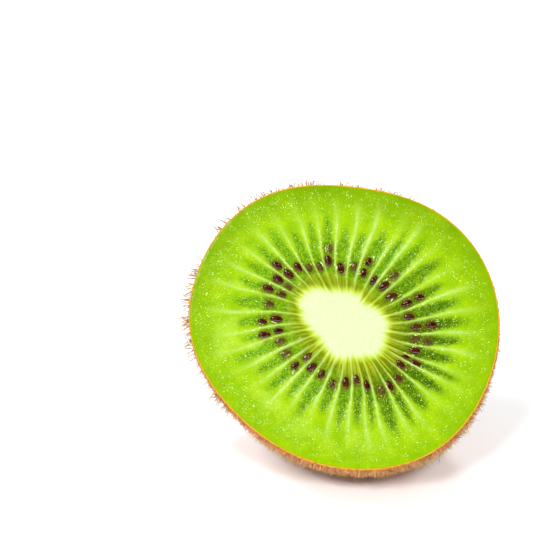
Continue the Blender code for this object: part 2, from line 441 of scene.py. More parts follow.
def paint(red, green, blue):
    """The shader's colour that looks like this one, from 0 to 255, under the studio's light."""
    linear = []
    for part in (red, green, blue):
        share = part / 255
        shade = share / 12.92 if share <= 0.04045 else ((share + 0.055) / 1.055) ** 2.4
        linear.append(shade / STUDIO_LIGHT)
    return (*linear, 1.0)


class Shader:
    """A node tree with one Principled shader and short ways to add to it."""

    def __init__(self, name):
        self.material = bpy.data.materials.new(name)
        self.material.use_nodes = True
        self.tree = self.material.node_tree
        self.surface = self.tree.nodes["Principled BSDF"]

    def node(self, kind, **settings):
        made = self.tree.nodes.new(kind)
        for name, value in settings.items():
            setattr(made, name, value)
        return made

    def link(self, source, target):
        self.tree.links.new(source, target)

    def attribute(self, name):
        return self.node("ShaderNodeAttribute", attribute_name=name).outputs["Fac"]

    def place(self):
        """The piece's own coordinates, in millimetres."""
        mapping = self.node("ShaderNodeMapping")
        mapping.inputs["Scale"].default_value = [1 / MM] * 3
        self.link(self.node("ShaderNodeTexCoord").outputs["Object"], mapping.inputs["Vector"])
        return mapping.outputs["Vector"]

    def noise(self, size, detail=3.0):
        made = self.node("ShaderNodeTexNoise")
        made.inputs["Scale"].default_value = 1 / size
        made.inputs["Detail"].default_value = detail
        self.link(self.place(), made.inputs["Vector"])
        return made.outputs["Fac"]

    def cells(self, size):
        made = self.node("ShaderNodeTexVoronoi")
        made.inputs["Scale"].default_value = 1 / size
        self.link(self.place(), made.inputs["Vector"])
        return made.outputs["Distance"]

    def remap(self, source, low, high, new_low=0.0, new_high=1.0):
        made = self.node("ShaderNodeMapRange")
        made.inputs["From Min"].default_value = low
        made.inputs["From Max"].default_value = high
        made.inputs["To Min"].default_value = new_low
        made.inputs["To Max"].default_value = new_high
        self.link(source, made.inputs["Value"])
        return made.outputs["Result"]

    def product(self, first, second):
        made = self.node("ShaderNodeMath", operation="MULTIPLY")
        self.link(first, made.inputs[0])
        self.link(second, made.inputs[1])
        return made.outputs["Value"]

    def mix(self, share, first, second):
        """A blend of two colours, each a fixed one or a socket, by the share of the second."""
        made = self.node("ShaderNodeMix", data_type="RGBA")
        sockets = {socket.identifier: socket for socket in made.inputs}
        self.link(share, sockets["Factor_Float"])
        for socket, colour in ((sockets["A_Color"], first), (sockets["B_Color"], second)):
            if isinstance(colour, tuple):
                socket.default_value = colour
            else:
                self.link(colour, socket)
        return next(socket for socket in made.outputs if socket.identifier == "Result_Color")

    def bump(self, height, distance, strength, below=None):
        made = self.node("ShaderNodeBump")
        made.inputs["Distance"].default_value = distance * MM
        made.inputs["Strength"].default_value = strength
        self.link(height, made.inputs["Height"])
        if below is not None:
            self.link(below, made.inputs["Normal"])
        return made.outputs["Normal"]

    def finish(self, colour, roughness, normal=None, **fixed):
        """Connect the colour, roughness and bumps, and set what is the same all over."""
        self.link(colour, self.surface.inputs["Base Color"])
        if isinstance(roughness, float):
            self.surface.inputs["Roughness"].default_value = roughness
        else:
            self.link(roughness, self.surface.inputs["Roughness"])
        if normal is not None:
            self.link(normal, self.surface.inputs["Normal"])
        for name, value in fixed.items():
            self.surface.inputs[name.replace("_", " ")].default_value = value
        return self.material


def flesh_material():
    """Wet green flesh: olive round the core, bright outside, darker chambers, pale rays and core, with
    painted shade at the top and the right and a painted haze of light at the lower left.
    """
    shader = Shader("flesh")
    patches = shader.remap(shader.noise(2.6), 0.35, 0.7)
    colour = shader.mix(patches, paint(156, 206, 0), paint(188, 228, 2))
    pulp = shader.remap(shader.noise(0.35, 2.0), 0.38, 0.62, 0.45, 0.0)
    colour = shader.mix(pulp, colour, paint(142, 198, 0))
    # painted shade: the darker green under the skin is darkened further at the top
    colour = shader.mix(shader.attribute("deep_green_and_shade"), colour, paint(122, 166, 0))
    # pale flesh beside the rays, and painted light: a pale haze at the lower left
    colour = shader.mix(shader.attribute("glow"), colour, paint(202, 240, 74))
    lumps = shader.remap(shader.noise(0.45, 4.0), 0.36, 0.66)
    inside = shader.mix(lumps, paint(78, 136, 0), paint(138, 194, 10))
    inside = shader.mix(shader.attribute("chamber_side"), inside, paint(92, 156, 0))
    # painted shade: the chambers darker on the right side
    inside = shader.mix(shader.attribute("shade"), inside, paint(44, 84, 0))
    grit = shader.remap(shader.cells(0.34), 0.12, 0.36, 0.75, 0.0)
    inside = shader.mix(grit, inside, paint(164, 216, 54))
    colour = shader.mix(shader.attribute("chamber"), colour, inside)
    colour = shader.mix(shader.attribute("olive"), colour, paint(122, 132, 0))
    colour = shader.mix(shader.attribute("jelly"), colour, paint(106, 84, 4))
    colour = shader.mix(shader.attribute("fibre"), colour, paint(190, 208, 40))
    dots = shader.remap(shader.cells(0.40), 0.14, 0.38, 1.0, 0.0)
    dots = shader.product(dots, shader.attribute("speckle"))
    colour = shader.mix(dots, colour, paint(190, 232, 70))
    colour = shader.mix(shader.attribute("ray"), colour, paint(218, 248, 142))
    colour = shader.mix(shader.attribute("core_fringe"), colour, paint(220, 236, 76))
    fine = shader.remap(shader.noise(0.45, 4.0), 0.3, 0.7)
    white = shader.mix(fine, paint(233, 249, 184), paint(240, 252, 200))
    colour = shader.mix(shader.attribute("core"), colour, white)
    colour = shader.mix(shader.attribute("rind_line"), colour, paint(198, 190, 0))
    film = shader.bump(shader.noise(0.9, 4.0), 0.10, 0.6)
    pits = shader.bump(shader.cells(0.5), 0.05, 0.5, below=film)
    gloss = shader.remap(shader.noise(1.8), 0.3, 0.7, 0.16, 0.32)
    return shader.finish(
        colour, gloss, pits,
        Subsurface_Weight=0.10, Subsurface_Radius=(1.2, 1.6, 0.4), Subsurface_Scale=0.0008,
        Specular_IOR_Level=0.25,
    )


def skin_material():
    """Leathery olive-brown skin with reddish flecks where the short hairs grow."""
    shader = Shader("skin")
    broad = shader.remap(shader.noise(9.0, 3.0), 0.32, 0.68)
    colour = shader.mix(broad, paint(242, 174, 70), paint(255, 168, 76))
    flecks = shader.remap(shader.noise(0.45, 3.0), 0.48, 0.62)
    colour = shader.mix(flecks, colour, paint(246, 122, 54))
    dark = shader.remap(shader.noise(0.6, 4.0), 0.36, 0.49, 0.65, 0.0)
    colour = shader.mix(dark, colour, paint(148, 60, 32))
    uneven = shader.remap(shader.noise(0.9, 2.0), 0.35, 0.65, 0.70, 1.0)
    edge = shader.product(uneven, shader.attribute("edge"))
    colour = shader.mix(edge, colour, paint(244, 208, 0))
    colour = shader.mix(shader.attribute("tip"), colour, paint(122, 80, 42))
    grain = shader.bump(shader.noise(0.35, 5.0), 0.10, 0.7)
    folds = shader.bump(shader.noise(1.6, 4.0), 0.20, 0.6, below=grain)
    return shader.finish(
        colour, 0.78, folds, Sheen_Weight=0.08, Sheen_Roughness=0.5, Specular_IOR_Level=0.2,
    )


def hair_material(name, root, tip, roughness):
    """A hair's colour from root to tip, with some hairs darker than others."""
    shader = Shader(name)
    colour = shader.mix(shader.attribute("along"), root, tip)
    colour = shader.mix(shader.attribute("dark"), colour, paint(172, 92, 40))
    return shader.finish(colour, roughness, Specular_IOR_Level=0.15)


def seed_material():
    """Glossy maroon-brown seeds with fine pits, paler where a film of flesh lies over them, and pale
    specks that are painted glints.
    """
    shader = Shader("seed")
    patches = shader.remap(shader.noise(0.5), 0.35, 0.65)
    colour = shader.mix(patches, paint(50, 10, 4), paint(96, 34, 20))
    film = shader.remap(shader.noise(0.3, 4.0), 0.40, 0.58, 0.35, 1.0)
    film = shader.product(film, shader.attribute("veil"))
    colour = shader.mix(film, colour, paint(118, 120, 44))
    # painted glints: sparse pale specks on the seeds
    specks = shader.remap(shader.cells(0.42), 0.08, 0.22, 0.8, 0.0)
    specks = shader.product(specks, shader.remap(shader.noise(1.3), 0.42, 0.54))
    colour = shader.mix(specks, colour, paint(222, 208, 192))
    pits = shader.bump(shader.cells(0.30), 0.05, 0.6)
    return shader.finish(colour, 0.16, pits, Coat_Weight=0.6, Coat_Roughness=0.08)


def grain_and_glint_material():
    shader = Shader("grain")
    # the pale colour is partly the flesh's own pale cells and partly painted glints
    colour = shader.mix(shader.attribute("pale"), GRAIN_GREEN, GRAIN_PALE_GLINT)
    colour = shader.mix(shader.attribute("amber"), colour, paint(216, 158, 14))
    return shader.finish(colour, 0.15, Specular_IOR_Level=0.6)


def scar_material():
    shader = Shader("stem_scar")
    streaks = shader.remap(shader.noise(0.5, 5.0), 0.35, 0.65)
    colour = shader.mix(streaks, paint(50, 34, 24), paint(120, 86, 54))
    return shader.finish(colour, 0.9, shader.bump(shader.noise(0.3, 5.0), 0.2, 0.9))


def floor_material():
    shader = Shader("floor")
    shader.surface.inputs["Base Color"].default_value = (FLOOR_SHADE, FLOOR_SHADE, FLOOR_SHADE, 1.0)
    shader.surface.inputs["Roughness"].default_value = 0.9
    shader.surface.inputs["Specular IOR Level"].default_value = 0.1
    return shader.material


# Cut face

class CutFace:
    """The points over the cut face, ring by ring outwards, and where each one lies in the pattern.

    Outward runs from -1 in the middle to 0 at the core's outline and 1 at the skin.
    """

    def __init__(self):
        walls = wall_angles()
        step = np.arange(SECTORS_PER_CHAMBER) / SECTORS_PER_CHAMBER
        self.angle = (walls[:-1, None] + np.diff(walls)[:, None] * step).ravel()
        core_share = np.linspace(CORE_FIRST_RING, 1.0, CORE_RINGS)
        outward_share = np.linspace(0, 1, FLESH_RINGS + 1)[1:]
        inner = core_radius(self.angle)
        edge = outline_radius(self.angle) - SKIN_THICKNESS + FLESH_OVERLAP
        self.radius = np.concatenate([
            core_share[:, None] * inner,
            inner + outward_share[:, None] * (edge - inner),
        ])
        self.outward = np.concatenate([core_share - 1, outward_share])[:, None] + 0 * self.radius
        self.turned = bent_angle(self.angle, self.radius)
        self.x = self.radius * np.cos(self.turned)
        self.y = self.radius * np.sin(self.turned)

        across = np.tile(step, WALL_COUNT)
        span = np.repeat(np.diff(walls), SECTORS_PER_CHAMBER)
        self.width = span * self.radius
        self.near_wall = np.minimum(across, 1 - across) * span * self.radius
        self.near_middle = np.abs(across - 0.5) * span * self.radius
        self.right_side = facing(self.turned, SHADED_SIDE)
        self.lower_left = facing(self.turned, HAZY_SIDE)
        self.top_side = facing(self.turned, TOP_SIDE)
        lobes = sum(size * np.cos(count * (self.angle - peak)) for count, size, peak in WHITE_EDGE_LOBES)
        self.from_core = self.radius - inner
        self.from_white = self.from_core + WHITE_EDGE_INSET - lobes
        self.draw_walls(across)

    def draw_walls(self, across):
        """How far and how strongly each wall shows as a ray, and how far each chamber reaches."""
        draws = np.random.default_rng(7)
        ray_end = draws.uniform(*RAY_REACH, WALL_COUNT + 1)
        ray_force = draws.uniform(*RAY_FORCE, WALL_COUNT + 1)
        chamber_tip = draws.uniform(*CHAMBER_REACH, WALL_COUNT)
        ray_end[-1], ray_force[-1] = ray_end[0], ray_force[0]
        chamber = np.repeat(np.arange(WALL_COUNT), SECTORS_PER_CHAMBER)
        wall = np.where(across < 0.5, chamber, chamber + 1)
        self.ray_end = ray_end[wall]
        self.ray_force = ray_force[wall]
        self.chamber_tip = chamber_tip[chamber]

    def beyond(self, start, full):
        """A share that grows outwards from 0 at the start to 1 where it is full."""
        return smooth_step(start, full, self.outward)

    def uneven(self, size, draw):
        return mottle(self.x, self.y, size, draw)

    def wobble(self):
        """How far walls and chambers stray sideways, in millimetres."""
        return 0.08 * self.uneven(1.1, 11)


def ray_pattern(face):
    """Pale rays along the walls, wider and weaker towards the skin."""
    growing = face.beyond(0.0, 0.25)
    fading = face.beyond(0.4, 1.0)
    width = RAY_HALF_WIDTH * (0.7 + 0.3 * growing) + 0.4 * fading
    ray = bell(np.maximum(face.near_wall + face.wobble(), 0) / width) * face.ray_force
    ray = ray * (0.5 + 0.5 * growing) * (1 - 0.6 * fading)
    ray = ray * (0.75 + 0.25 * face.uneven(0.55, 12))
    return ray * (1 - smooth_step(face.ray_end - RAY_FADE, face.ray_end, face.outward))


def glow_pattern(face):
    """The brighter flesh beside the rays, and a painted haze of light at the lower left."""
    glow = bell(face.near_wall / GLOW_HALF_WIDTH) * face.ray_force * face.beyond(0.2, 0.5)
    # painted light: a pale haze on the lower left side
    painted_haze = 0.9 * face.lower_left ** 2 * smooth_step(-0.1, 0.7, face.uneven(2.2, 24))
    painted_haze = painted_haze * face.beyond(0.2, 0.4)
    glow = np.maximum(0.4 * glow, 0.7 * painted_haze) * (1 - face.beyond(0.70, 0.95))
    return glow * (0.8 + 0.2 * face.uneven(1.5, 23))


def chamber_pattern(face):
    """The dark chambers between the walls, and their sides, where the flesh is greener."""
    ragged = face.wobble() + 0.20 * face.uneven(0.45, 22)
    tapering = face.chamber_tip + 0.07 * face.right_side ** 2 - CHAMBER_TAPER_FROM
    taper = np.clip((np.maximum(face.outward, 0) - CHAMBER_TAPER_FROM) / tapering, 0, 1)
    wall_growth = face.beyond(0.10, 0.36) * (1 - face.right_side ** 2)
    wall_half = WALL_HALF_WIDTH[0] + (WALL_HALF_WIDTH[1] - WALL_HALF_WIDTH[0]) * wall_growth
    half_width = (face.width / 2 - wall_half) * (1 - taper ** 1.4)
    past_side = face.near_middle + ragged - half_width
    softness = 0.22 + 0.5 * taper
    chamber = (1 - smooth_step(-softness - 0.1, softness, past_side)) * face.beyond(-0.02, 0.12)
    chamber = chamber * (1 - smooth_step(0.6, 1.0, taper)) * (0.86 + 0.14 * face.uneven(0.5, 13))
    return chamber, 0.7 * smooth_step(-0.7, -0.1, past_side) * face.beyond(0.18, 0.45)


def olive_pattern(face):
    """The olive flesh round the core and the fine fibres that cross it, both weaker at the top."""
    reach = OLIVE_REACH * (1 + 0.35 * face.right_side ** 2 - 0.4 * face.top_side ** 2)
    olive = 0.8 * smooth_step(0.2, 1.4, face.from_white)
    olive = olive * (1 - smooth_step(0.15 * reach, reach, face.from_core))
    fine = ripple(face.angle, 220, 14) + 0.6 * ripple(face.angle + 0.12 * face.outward, 330, 15)
    fine = smooth_step(-0.3, 0.9, fine) * (0.6 + 0.3 * (1 - face.top_side))
    fibre = np.maximum(fine, 0.75 * bell(face.near_wall / FIBRE_HALF_WIDTH))
    fibre = fibre * (1 - 0.45 * face.top_side ** 2)
    fibre = fibre * smooth_step(-0.2, 0.8, face.from_white)
    return olive, fibre * (1 - smooth_step(1.0, reach, face.from_core))


def core_pattern(face):
    """The white of the core with its frayed edge, and the yellow-green fringe round it."""
    frayed = 0.35 * bell(face.near_wall / 0.25) + 0.35 * ripple(face.angle, 170, 14)
    frayed = frayed + 0.15 * ripple(face.angle, 70, 17)
    core = 1 - smooth_step(-WHITE_EDGE_SOFTNESS, WHITE_EDGE_SOFTNESS, face.from_white - frayed)
    return core, 0.85 * (1 - smooth_step(0.0, 1.5, face.from_white - 1.5 * frayed))


def deep_green_and_shade_pattern(face):
    """Darker green under the skin all round, with painted shade that makes it strongest at the top."""
    strength = (0.22 + 0.78 * face.top_side) * face.beyond(0.62, 1.0)
    return strength * (0.8 + 0.2 * face.uneven(3.0, 18))


def speckle_pattern(face, chamber):
    """Pale dots, in patches over the outer flesh and in the chambers."""
    patchy = np.clip(0.5 + 0.6 * face.uneven(4.5, 19), 0.1, 1)
    speckle = (0.4 - 0.2 * face.right_side ** 2) * chamber
    speckle = speckle + (1 - chamber) * patchy * (0.15 + 0.5 * face.lower_left)
    return speckle * face.beyond(0.08, 0.3) * (1 - face.beyond(0.93, 0.99))


def jelly_pattern(face, ray):
    """The brownish jelly round each seed."""
    jelly = np.zeros_like(face.x)
    for angle, radius, length, _, _ in plan_seeds():
        away = np.hypot(face.x - radius * math.cos(angle), face.y - radius * math.sin(angle))
        jelly = np.maximum(jelly, 1 - smooth_step(0.35, 0.85, away / length))
    return jelly * 0.62 * (1 - ray)


def face_height(face, ray, chamber, fibre):
    """The relief of the cut face: raised core and walls, sunk chambers, and a wet unevenness."""
    height = np.where(face.outward < 0, CORE_RISE * (1 - (1 + face.outward) ** 2), 0.0)
    height = height + chamber_strength(face.outward) * (WALL_CREST * ray - CHAMBER_DEPTH * chamber)
    height = height + 0.03 * fibre + 0.045 * face.uneven(0.7, 20) + face_waves(face.x, face.y)
    return height - 0.12 * face.beyond(0.97, 1.0)


def make_flesh():
    """The cut face as a fine relief that follows the walls, closed underneath inside the skin."""
    face = CutFace()
    ray = ray_pattern(face)
    chamber, chamber_side = chamber_pattern(face)
    olive, fibre = olive_pattern(face)
    core, core_fringe = core_pattern(face)
    looks = {
        "ray": ray,
        "chamber": chamber,
        "chamber_side": chamber_side,
        "olive": olive,
        "fibre": fibre,
        "core": core,
        "core_fringe": core_fringe,
        "deep_green_and_shade": deep_green_and_shade_pattern(face),
        "glow": glow_pattern(face),
        "speckle": speckle_pattern(face, chamber),
        "rind_line": 0.9 * face.beyond(0.985, 1.0),
        "jelly": jelly_pattern(face, ray),
        # painted shade: the chambers darker towards the right side
        "shade": 0.95 * face.right_side ** 2 * (1 - face.beyond(0.50, 0.95)),
    }

    height = face_height(face, ray, chamber, fibre)
    relief = np.stack([face.x, face.y, height], axis=-1).reshape(-1, 3)
    under = []
    for level in UNDERSIDE_LEVELS:
        depth = FLESH_DEPTH * level
        width = side_width(depth + UNDERSIDE_GAP / 2) * (1 - UNDERSIDE_GAP / FACE_RADIUS)
        under.append(body_points(face.angle, width, depth + 0 * face.angle))
    centres = [[0, 0, CORE_RISE], [*TIP_LEAN, -FLESH_DEPTH]]
    points = np.concatenate([relief, *under, centres])
    rings, sectors = len(face.radius) + len(under), len(face.angle)
    top, bottom = rings * sectors, rings * sectors + 1
    faces = grid_faces(rings, sectors).tolist()
    faces += fan_faces(top, 0, sectors).tolist()
    faces += fan_faces(bottom, (rings - 1) * sectors, sectors, flip=True).tolist()

    hidden = np.zeros(len(points) - len(relief))
    values = {label: np.concatenate([numbers.ravel(), hidden]) for label, numbers in looks.items()}
    values["core"][top] = 1.0
    return make_piece("flesh", points, faces, flesh_material(), values)


def make_seeds():
    """Teardrops that point to the core, each half sunk in its chamber."""
    turn = 2 * math.pi * np.arange(SEED_SIDES) / SEED_SIDES
    share = (np.arange(SEED_RINGS) + 0.5) / SEED_RINGS
    girth = np.sin(math.pi * share) * (0.82 + 0.18 * share)
    points, faces, veil = [], [], []
    for number, (angle, radius, length, twist, sink) in enumerate(plan_seeds()):
        along = -length / 2 * np.cos(math.pi * share)
        across = length * SEED_WIDTH_SHARE / 2 * girth[:, None] * np.cos(turn)
        up = length * SEED_THICKNESS_SHARE / 2 * girth[:, None] * np.sin(turn)
        rings = np.stack([along[:, None] + 0 * across, across, up], axis=-1).reshape(-1, 3)
        local = np.concatenate([rings, [[-length / 2, 0, 0], [length / 2, 0, 0]]])
        x, y = on_face(angle, radius, angle + twist, local[:, 0], local[:, 1])
        height = -CHAMBER_DEPTH - sink * length * SEED_THICKNESS_SHARE / 2
        points.append(np.stack([x, y, height + local[:, 2]], axis=-1))

        first = number * len(local)
        last_ring = first + (SEED_RINGS - 1) * SEED_SIDES
        tip = first + SEED_RINGS * SEED_SIDES
        faces += grid_faces(SEED_RINGS, SEED_SIDES, first).tolist()
        faces += fan_faces(tip, first, SEED_SIDES).tolist()
        faces += fan_faces(tip + 1, last_ring, SEED_SIDES, flip=True).tolist()
        veil += [0.75 * float(smooth_step(0.12, 0.45, sink))] * len(local)
    make_piece("seeds", np.concatenate(points), faces, seed_material(), {"veil": veil})


# Each grain is a row: angle, radius, length, slimness, heading, how far it is sunk, pale and amber.

def strewn_grains_and_glints(draws):
    """Small grains all over the flesh, most of them at the left and near the skin; the pale ones are
    partly painted glints.
    """
    angle = GRAIN_TURN * np.arange(GRAIN_COUNT)
    outward = np.sqrt(np.linspace(0.02, 0.97, GRAIN_COUNT))
    patch = 0.55 + 0.45 * facing(angle, GRAINY_SIDE)
    keep = draws.uniform(0, 1, GRAIN_COUNT) < patch * (0.4 + 0.6 * outward)
    angle, outward = angle[keep], outward[keep]
    count = len(angle)
    inner = core_radius(angle) + 2.0
    radius = inner + outward * (outline_radius(angle) - 1.0 - inner)
    radius += draws.normal(0, 0.18, count)
    angle += draws.normal(0, 0.18, count) / radius
    length = draws.uniform(*GRAIN_LENGTH, count)
    length = length * (0.7 + 0.6 * draws.uniform(0, 1, count) ** 3)
    heading = angle + draws.normal(0, 0.5, count)
    sunk = 0.02 + CHAMBER_DEPTH * 0.35 * (1 - smooth_step(0.45, 0.7, outward))
    pale = draws.uniform(0, 1, count) ** 1.6
    slimness, amber = np.full(count, 0.5), np.zeros(count)
    return np.stack([angle, radius, length, slimness, heading, sunk, pale, amber], axis=1)


def ray_glints(draws):
    """Painted glints: thin pale flecks that stand out along the walls."""
    rows = []
    for wall in wall_angles()[:-1]:
        for _ in range(draws.integers(0, GLINTS_PER_RAY)):
            place = draws.uniform(*GLINT_REACH)
            angle = bent_angle(wall, place) + draws.normal(0, 0.14) / place
            length = draws.uniform(*GLINT_LENGTH)
            rows.append([angle, place, length, 0.3, angle + draws.normal(0, 0.2), -0.03, 1, 0])
    return rows


def seed_films_and_glints(draws):
    """Thin films of flesh beside some of the seeds, partly painted highlights."""
    rows = []
    for seed_angle, seed_radius, _, _, _ in plan_seeds():
        if draws.uniform() < FILM_AND_GLINT_SHARE:
            side = draws.choice([-1, 1]) * draws.uniform(0.6, 0.8) / seed_radius
            for _ in range(FILMS_AND_GLINTS_PER_SEED):
                angle = seed_angle + side + draws.normal(0, 0.014)
                place = seed_radius + draws.uniform(-0.5, 1.3)
                slant = seed_angle + draws.normal(0, 0.45)
                length = draws.uniform(*FILM_AND_GLINT_LENGTH)
                rows.append([angle, place, length, 0.22, slant, 0.10, draws.uniform(0.2, 0.8), 0])
    return rows


def amber_specks(draws):
    rows = []
    for _ in range(AMBER_COUNT):
        angle = draws.uniform(0, 2 * math.pi)
        place = core_radius(angle) + draws.uniform(*AMBER_FROM_CORE)
        length = draws.uniform(*AMBER_LENGTH)
        rows.append([angle, place, length, 0.5, angle + draws.normal(0, 0.4), 0, 0, 1])
    return rows


def make_grains_and_glints():
    """Wet grains over the flesh, partly painted glints, painted glints on the rays, films beside seeds
    that are partly painted highlights, and amber specks.
    """
    draws = np.random.default_rng(31)
    rows = [strewn_grains_and_glints(draws), ray_glints(draws), seed_films_and_glints(draws), amber_specks(draws)]
    angle, radius, length, slimness, heading, sunk, pale, amber = np.concatenate(rows).T
    corners = np.array([[-1, 0, 0], [0, -1, 0], [1, 0, 0], [0, 1, 0], [0, 0, 0.34], [0, 0, -0.5]])
    local = corners[None] * length[:, None, None] / 2
    across = local[:, :, 1] * slimness[:, None]
    x, y = on_face(angle[:, None], radius[:, None], heading[:, None], local[:, :, 0], across)
    z = local[:, :, 2] + face_waves(x, y) - sunk[:, None]
    points = np.stack([x, y, z], axis=-1).reshape(-1, 3)
    pattern = np.concatenate([fan_faces(4, 0, 4), fan_faces(5, 0, 4, flip=True)])
    faces = (pattern[None] + len(corners) * np.arange(len(angle))[:, None, None]).reshape(-1, 3)
    values = {"pale": np.repeat(pale, len(corners)), "amber": np.repeat(amber, len(corners))}
    make_piece("grains_and_glints", points, faces.tolist(), grain_and_glint_material(), values)


# Skin

def skin_surface(angle, share):
    """Outer skin: share runs from 0 at the cut edge to 1 at the middle of the stem dimple."""
    depth = HALF_LENGTH * np.sin(math.pi / 2 * np.clip(share, 0, 1))
    width = side_width(np.minimum(depth, HALF_LENGTH * 0.999999))
    points = body_points(angle, width, depth)
    points[..., 2] += dimple(width * FACE_RADIUS)
    return points


def skin_mottle(angle, share, size, draw):
    """Smooth unevenness over the skin, from -1 to 1, with patches of about that size."""
    return mottle(angle * SKIN_PLANE[0], share * SKIN_PLANE[1], size, draw)


def make_skin():
    """A thin closed shell: rounded cut edge, leathery outside and a plain inside."""
    angle = 2 * math.pi * np.arange(SKIN_SECTORS) / SKIN_SECTORS
    rounded = np.stack([
        body_points(angle, 1 - inset / FACE_RADIUS, depth + 0 * angle) for inset, depth in SKIN_EDGE
    ])
    share = np.concatenate([[0.012], np.linspace(0.02, 0.995, SKIN_RINGS)])
    angles, shares = np.meshgrid(angle, share)
    outside = skin_surface(angles, shares)
    rough = 0.07 * skin_mottle(angles, shares, 0.9, 41) + 0.10 * skin_mottle(angles, shares, 3.1, 42)
    rough = rough * smooth_step(0.0, 0.05, shares)
    outside[..., :2] *= (1 + rough / FACE_RADIUS)[..., None]
    inside = skin_surface(*np.meshgrid(angle, np.linspace(0.97, 0.02, SKIN_INNER_RINGS)))
    inside *= 1 - SKIN_THICKNESS / FACE_RADIUS

    grid = np.concatenate([rounded, outside, inside])
    faces = grid_faces(len(grid), SKIN_SECTORS).tolist()
    last = (len(grid) - 1) * SKIN_SECTORS
    order = np.arange(SKIN_SECTORS)
    after = (order + 1) % SKIN_SECTORS
    faces += np.stack([last + order, order, after, last + after], axis=-1).tolist()
    edge = np.zeros(grid.shape[:2])
    edge[0] = 1.0
    edge[1] = 0.2
    tip = np.zeros(grid.shape[:2])
    tip[len(rounded):len(rounded) + len(share)] = smooth_step(0.90, 0.97, share)[:, None]
    make_piece("skin", grid.reshape(-1, 3), faces, skin_material(), {"edge": edge, "tip": tip})


def skin_axes(angle, share):
    """Points of the skin, with the directions down the fruit, round it and out of it."""
    step = 0.002
    root = skin_surface(angle, share)
    down = unit(skin_surface(angle, share + step) - root)
    side = unit(skin_surface(angle + step, share) - root)
    out = np.cross(side, down)
    out *= np.sign(np.sum(out * root, axis=1))[:, None]
    return root, down, side, out


def sow_hairs(draws, count, reach, tuft_draw, between_tufts, rim_share, peaks):
    """Where hairs stand and how far they are grown there, from 0 to 1.

    They are longest at the upper left and the stem end, or round the peaks if any are given.
    """
    angle = draws.uniform(0, 2 * math.pi, count * HAIR_TRIES)
    share = draws.uniform(*reach, count * HAIR_TRIES)
    if peaks:
        grown = sum(facing(angle, peak) ** 8 for peak in peaks)
    else:
        upper_left = facing(angle, LONG_HAIRS_AT) ** 2
        below = HAIRS_BELOW * facing(angle, HAIRS_BELOW_AT) ** 3
        grown = np.maximum(np.maximum(upper_left, below), smooth_step(0.40, 0.75, share))
    width = side_width(HALF_LENGTH * np.sin(math.pi / 2 * share))
    tufts = smooth_step(-0.3, 0.4, skin_mottle(angle, share, TUFT_SIZE, tuft_draw))
    sown = between_tufts + (1 - between_tufts) * tufts
    sown = sown * (rim_share + (1 - rim_share) * smooth_step(0.15, 0.5, grown))
    keep = draws.uniform(0, 1, count * HAIR_TRIES) < width * sown
    return angle[keep][:count], share[keep][:count], grown[keep][:count]


def make_hairs(
    name, count, lengths, thickness, material, draw, flatness, reach,
    between_tufts=0.25, rim_share=1.0, peaks=(),
):
    """Tapered hairs on the skin. Flatness 1 lies along the fruit and 0 stands up."""
    draws = np.random.default_rng(draw)
    angle, share, grown = sow_hairs(draws, count, reach, draw + 2, between_tufts, rim_share, peaks)
    count = len(angle)
    root, down, side, out = skin_axes(angle, share)
    swirl = draws.normal(0, 0.55, count) + 0.5 * skin_mottle(angle, share, SWIRL_SIZE, draw + 1)
    lie = down * np.cos(swirl)[:, None] + side * np.sin(swirl)[:, None]
    flat = flatness + 0.3 * (1 - grown) + draws.normal(0, 0.14, count)
    flat = np.clip(flat, 0.05, 0.97)[:, None]
    heading = unit(lie * flat + out * (1 - flat))
    curl = draws.normal(0, 0.42, (count, 3)) + lie * 0.3
    length = draws.uniform(*lengths, count) * (SHORT_HAIRS + (LONG_HAIRS - SHORT_HAIRS) * grown)
    length = length[:, None]
    middle = root + heading * length * 0.5
    tip = root + (heading + curl * 0.5) * length
    root = root - heading * HAIR_ROOT_DEPTH
    thick = thickness * draws.uniform(0.7, 1.25, count)[:, None]
    flank = unit(np.cross(heading, out + 0.01))
    other = np.cross(heading, flank)

    rows = []
    for centre, girth in ((root, 1.0), (middle, 0.80)):
        for corner in range(HAIR_SIDES):
            turn = 2 * math.pi * corner / HAIR_SIDES
            away = flank * math.cos(turn) + other * math.sin(turn)
            rows.append(centre + away * thick * girth / 2)
    points = np.stack([*rows, tip], axis=1)
    lowest = to_frame(points.reshape(-1, 3)).reshape(count, -1, 3)[:, :, 2].min(axis=1)
    points = points[lowest > 0.05 * MM]
    count, corners, _ = points.shape
    along = np.tile([0.0] * HAIR_SIDES + [0.5] * HAIR_SIDES + [1.0], count)
    dark = np.repeat(0.85 * draws.uniform(0, 1, count) ** 2, corners)

    here = np.arange(HAIR_SIDES)
    after = (here + 1) % HAIR_SIDES
    quads = np.stack([here, after, HAIR_SIDES + after, HAIR_SIDES + here], axis=-1)
    ends = fan_faces(corners - 1, HAIR_SIDES, HAIR_SIDES)
    first = corners * np.arange(count)[:, None, None]
    faces = (quads[None] + first).reshape(-1, 4).tolist()
    faces += (ends[None] + first).reshape(-1, 3).tolist()
    make_piece(name, points.reshape(-1, 3), faces, material, {"along": along, "dark": dark})


